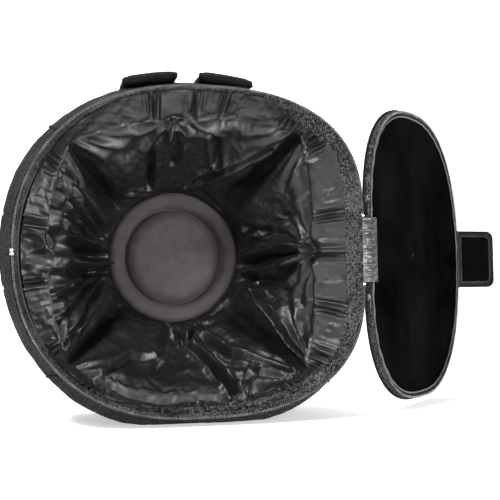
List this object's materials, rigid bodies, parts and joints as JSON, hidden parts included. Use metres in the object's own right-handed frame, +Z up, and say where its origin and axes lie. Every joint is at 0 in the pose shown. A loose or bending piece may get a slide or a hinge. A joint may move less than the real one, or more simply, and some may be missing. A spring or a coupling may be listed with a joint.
{
  "type": "handpan carrying bag",
  "caption": "Soft round padded backpack for a handpan, open: zip-round lid swung back on its web hinge, satin lining, felt base pad, padded shoulder straps.",
  "frame": {"origin": "on the flat stretch the bag stands on, half way along its depth", "axes": "+X across the mouth towards the lid hinge, +Y from the mouth to the back panel, +Z up"},
  "size_m": [1.0305, 0.4776, 0.5685],
  "materials": {
    "outer_cloth": "matte",
    "seam_piping": "satin",
    "foam": "matte",
    "facing_cloth": "matte",
    "zip_coil": "gloss",
    "zip_tape": "matte",
    "bright_metal": "satin",
    "loop_pile": "matte",
    "hook_pile": "matte",
    "lining_satin": "satin",
    "pad_felt": "matte",
    "strap_cloth": "matte",
    "webbing": "matte",
    "lock_plastic": "satin",
    "slider_metal": "satin",
    "lid_satin": "satin",
    "seam_binding": "satin",
    "hinge_satin": "satin"
  },
  "bodies": {
    "bag": {"wall_panel_top": "outer_cloth", "wall_panel_right": "outer_cloth", "wall_panel_bottom": "outer_cloth", "wall_panel_left": "outer_cloth", "back_panel": "outer_cloth", "seam_piping_top_left": "seam_piping", "seam_piping_top_right": "seam_piping", "seam_piping_bottom_right": "seam_piping", "seam_piping_bottom_left": "seam_piping", "back_piping": "seam_piping", "wall_foam_top": "foam", "wall_foam_right": "foam", "wall_foam_bottom": "foam", "wall_foam_left": "foam", "back_foam": "foam", "mouth_facing": "facing_cloth", "zip_coil_body": "zip_coil", "zip_tape_body": "zip_tape", "zip_end_tab": "zip_tape", "zip_end_stops": "bright_metal", "loop_patch": "loop_pile", "lining_edge_top": "lining_satin", "lining_edge_right": "lining_satin", "lining_edge_bottom": "lining_satin", "lining_edge_left": "lining_satin", "lining_panel_top": "lining_satin", "lining_panel_right": "lining_satin", "lining_panel_bottom": "lining_satin", "lining_panel_left": "lining_satin", "base_pad_ring": "pad_felt", "base_pad_disc": "pad_felt", "shoulder_strap_left": "strap_cloth", "shoulder_strap_right": "strap_cloth", "strap_hanger_left": "webbing", "strap_hanger_right": "webbing", "strap_webbing_left": "webbing", "strap_webbing_right": "webbing", "strap_anchor_left": "webbing", "strap_anchor_right": "webbing", "ladder_lock_left": "lock_plastic", "ladder_lock_right": "lock_plastic", "zip_slider_upper": "slider_metal", "zip_slider_lower": "slider_metal", "hinge_web_body": "hinge_satin"},
    "lid": {"lid_outer": "outer_cloth", "lid_foam": "foam", "lid_lining": "lid_satin", "lid_gusset": "outer_cloth", "lid_piping": "seam_piping", "lid_seam_binding": "seam_binding", "zip_coil_lid": "zip_coil", "zip_tape_lid": "zip_tape", "hinge_web_lid": "hinge_satin"},
    "closure_tab": {"closure_tab": "outer_cloth", "closure_tab_binding": "seam_piping", "closure_tab_hooks": "hook_pile"},
    "upper_pull": {"zip_pull_upper": "slider_metal"},
    "lower_pull": {"zip_pull_lower": "slider_metal"}
  },
  "joints": [
    {"name": "lid_hinge", "type": "hinge", "parent": "bag", "child": "lid", "pos_m": [0.291, -0.1403, 0.276], "axis": [0, 0, 1], "range_deg": [-232, 18]},
    {"name": "tab_fold", "type": "hinge", "parent": "lid", "child": "closure_tab", "pos_m": [0.63993, 0.31931, 0.276], "axis": [0, 0, 1], "range_deg": [-30, 120]},
    {"name": "upper_pull_swing", "type": "hinge", "parent": "bag", "child": "upper_pull", "pos_m": [0.2873, -0.1403, 0.36], "axis": [0, 1, 0], "range_deg": [-170, 0]},
    {"name": "lower_pull_swing", "type": "hinge", "parent": "bag", "child": "lower_pull", "pos_m": [0.2873, -0.1403, 0.198], "axis": [0, 1, 0], "range_deg": [-170, 0]}
  ]
}
